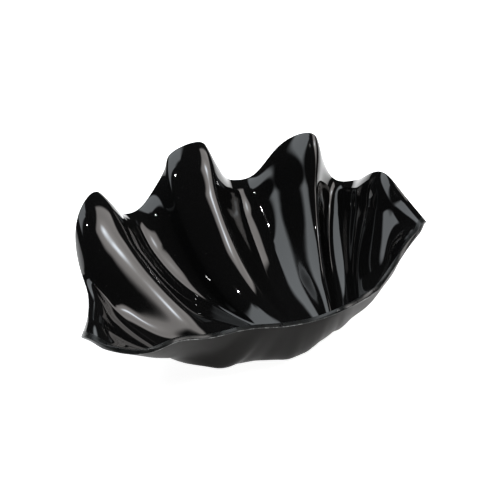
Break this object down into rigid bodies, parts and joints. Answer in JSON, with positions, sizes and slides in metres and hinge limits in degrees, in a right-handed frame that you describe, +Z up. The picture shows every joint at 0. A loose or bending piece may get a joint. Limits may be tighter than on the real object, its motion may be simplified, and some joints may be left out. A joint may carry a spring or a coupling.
{
  "type": "clam shell serving bowl",
  "caption": "Glossy black serving bowl moulded like a giant clam shell, with a wavy rim, deep folds across the inside and rubber bumpers to stand on.",
  "frame": {"origin": "on the table at the middle of the bowl's overall length and width, so the bumpers stand at z = 0", "axes": "+X towards the right-hand tip along the longest side, +Y towards the tall folded back wall, away from the low hinge edge, +Z up"},
  "size_m": [0.3824, 0.2711, 0.1369],
  "materials": {
    "bowl": "mirror gloss inside and on the rim, satin outside",
    "bumper": "matt"
  },
  "bodies": {
    "root": {"bowl_shell": "bowl", "foot_bumper_front_left": "bumper", "foot_bumper_front_right": "bumper", "foot_bumper_back_left": "bumper", "foot_bumper_back_right": "bumper"}
  },
  "joints": []
}
